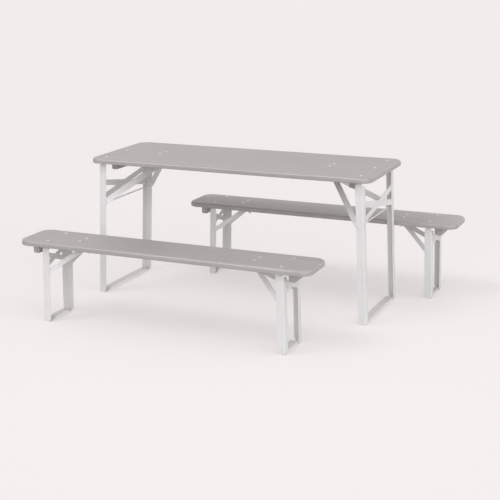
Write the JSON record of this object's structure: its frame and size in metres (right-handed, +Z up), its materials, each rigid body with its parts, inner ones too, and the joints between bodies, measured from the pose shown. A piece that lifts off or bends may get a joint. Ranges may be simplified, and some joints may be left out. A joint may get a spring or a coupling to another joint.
{
  "type": "folding garden table and bench set",
  "caption": "Long folding garden table with a folding bench on each side, painted boards on hinged white steel leg frames with V-shaped lock struts.",
  "frame": {"origin": "on the floor, in the middle of the set's bounding box", "axes": "+X along the boards towards the right-hand end in the picture, +Y from the front bench towards the rear bench, +Z up"},
  "size_m": [2.008, 1.4, 0.77],
  "materials": {
    "board_paint": "warm grey satin paint on wood",
    "cleat_paint": "warm grey satin paint on wood",
    "frame_powder_coat": "white powder coat on steel",
    "plate_zinc": "bright zinc plating on pressed steel",
    "bolt_zinc": "bright zinc plating",
    "spring_steel": "zinc-plated spring steel"
  },
  "bodies": {
    "table_top": {"table_board": "board_paint", "table_left_cleat": "cleat_paint", "table_left_hinge_plate": "plate_zinc", "table_left_lock_bracket": "plate_zinc", "table_left_catch": "spring_steel", "table_right_cleat": "cleat_paint", "table_right_hinge_plate": "plate_zinc", "table_right_lock_bracket": "plate_zinc", "table_right_catch": "spring_steel"},
    "table_left_leg": {"table_left_leg_frame": "frame_powder_coat", "table_left_cross_brace": "frame_powder_coat", "table_left_strut_rod": "frame_powder_coat"},
    "table_left_strut": {"table_left_strut": "frame_powder_coat"},
    "table_right_leg": {"table_right_leg_frame": "frame_powder_coat", "table_right_cross_brace": "frame_powder_coat", "table_right_strut_rod": "frame_powder_coat"},
    "table_right_strut": {"table_right_strut": "frame_powder_coat"},
    "front_bench_seat": {"front_bench_board": "board_paint", "front_bench_left_cleat": "cleat_paint", "front_bench_left_hinge_plate": "plate_zinc", "front_bench_left_lock_bracket": "plate_zinc", "front_bench_left_catch": "spring_steel", "front_bench_right_cleat": "cleat_paint", "front_bench_right_hinge_plate": "plate_zinc", "front_bench_right_lock_bracket": "plate_zinc", "front_bench_right_catch": "spring_steel"},
    "front_bench_left_leg": {"front_bench_left_leg_frame": "frame_powder_coat", "front_bench_left_cross_brace": "frame_powder_coat"},
    "front_bench_left_strut": {"front_bench_left_strut": "frame_powder_coat"},
    "front_bench_right_leg": {"front_bench_right_leg_frame": "frame_powder_coat", "front_bench_right_cross_brace": "frame_powder_coat"},
    "front_bench_right_strut": {"front_bench_right_strut": "frame_powder_coat"},
    "rear_bench_seat": {"rear_bench_board": "board_paint", "rear_bench_left_cleat": "cleat_paint", "rear_bench_left_hinge_plate": "plate_zinc", "rear_bench_left_lock_bracket": "plate_zinc", "rear_bench_left_catch": "spring_steel", "rear_bench_right_cleat": "cleat_paint", "rear_bench_right_hinge_plate": "plate_zinc", "rear_bench_right_lock_bracket": "plate_zinc", "rear_bench_right_catch": "spring_steel"},
    "rear_bench_left_leg": {"rear_bench_left_leg_frame": "frame_powder_coat", "rear_bench_left_cross_brace": "frame_powder_coat"},
    "rear_bench_left_strut": {"rear_bench_left_strut": "frame_powder_coat"},
    "rear_bench_right_leg": {"rear_bench_right_leg_frame": "frame_powder_coat", "rear_bench_right_cross_brace": "frame_powder_coat"},
    "rear_bench_right_strut": {"rear_bench_right_strut": "frame_powder_coat"}
  },
  "joints": [
    {"name": "table_left_leg_fold", "type": "hinge", "parent": "table_top", "child": "table_left_leg", "pos_m": [-0.827, 0.1475, 0.717], "axis": [0, -1, 0], "range_deg": [0, 92.54]},
    {"name": "table_left_strut_turn", "type": "hinge", "parent": "table_left_leg", "child": "table_left_strut", "pos_m": [-0.83595, 0.1475, 0.5152], "axis": [0, 1, 0], "range_deg": [0, 132.89]},
    {"name": "table_right_leg_fold", "type": "hinge", "parent": "table_top", "child": "table_right_leg", "pos_m": [0.635, 0.1475, 0.717], "axis": [0, 1, 0], "range_deg": [0, 92.54]},
    {"name": "table_right_strut_turn", "type": "hinge", "parent": "table_right_leg", "child": "table_right_strut", "pos_m": [0.64395, 0.1475, 0.5152], "axis": [0, -1, 0], "range_deg": [0, 132.89]},
    {"name": "front_bench_left_leg_fold", "type": "hinge", "parent": "front_bench_seat", "child": "front_bench_left_leg", "pos_m": [-0.849, -0.5675, 0.379], "axis": [0, -1, 0], "range_deg": [0, 91.51]},
    {"name": "front_bench_left_strut_turn", "type": "hinge", "parent": "front_bench_left_leg", "child": "front_bench_left_strut", "pos_m": [-0.85208, -0.5675, 0.26204], "axis": [0, 1, 0], "range_deg": [0, 128.08]},
    {"name": "front_bench_right_leg_fold", "type": "hinge", "parent": "front_bench_seat", "child": "front_bench_right_leg", "pos_m": [0.441, -0.5675, 0.379], "axis": [0, 1, 0], "range_deg": [0, 91.51]},
    {"name": "front_bench_right_strut_turn", "type": "hinge", "parent": "front_bench_right_leg", "child": "front_bench_right_strut", "pos_m": [0.44408, -0.5675, 0.26204], "axis": [0, -1, 0], "range_deg": [0, 128.08]},
    {"name": "rear_bench_left_leg_fold", "type": "hinge", "parent": "rear_bench_seat", "child": "rear_bench_left_leg", "pos_m": [-0.441, 0.5675, 0.379], "axis": [0, -1, 0], "range_deg": [0, 91.51]},
    {"name": "rear_bench_left_strut_turn", "type": "hinge", "parent": "rear_bench_left_leg", "child": "rear_bench_left_strut", "pos_m": [-0.44408, 0.5675, 0.26204], "axis": [0, 1, 0], "range_deg": [0, 128.08]},
    {"name": "rear_bench_right_leg_fold", "type": "hinge", "parent": "rear_bench_seat", "child": "rear_bench_right_leg", "pos_m": [0.849, 0.5675, 0.379], "axis": [0, 1, 0], "range_deg": [0, 91.51]},
    {"name": "rear_bench_right_strut_turn", "type": "hinge", "parent": "rear_bench_right_leg", "child": "rear_bench_right_strut", "pos_m": [0.85208, 0.5675, 0.26204], "axis": [0, -1, 0], "range_deg": [0, 128.08]},
    {"name": "front_bench_slide", "type": "slide", "parent": "table_top", "child": "front_bench_seat", "axis": [0, -1, 0], "range_m": [0, 0.4]},
    {"name": "rear_bench_slide", "type": "slide", "parent": "table_top", "child": "rear_bench_seat", "axis": [0, 1, 0], "range_m": [0, 0.4]}
  ],
  "couplings": [
    {"joint": "table_left_strut_turn", "follows": "table_left_leg_fold", "ratio": 1.4359},
    {"joint": "table_right_strut_turn", "follows": "table_right_leg_fold", "ratio": 1.4359},
    {"joint": "front_bench_left_strut_turn", "follows": "front_bench_left_leg_fold", "ratio": 1.3996},
    {"joint": "front_bench_right_strut_turn", "follows": "front_bench_right_leg_fold", "ratio": 1.3996},
    {"joint": "rear_bench_left_strut_turn", "follows": "rear_bench_left_leg_fold", "ratio": 1.3996},
    {"joint": "rear_bench_right_strut_turn", "follows": "rear_bench_right_leg_fold", "ratio": 1.3996}
  ]
}
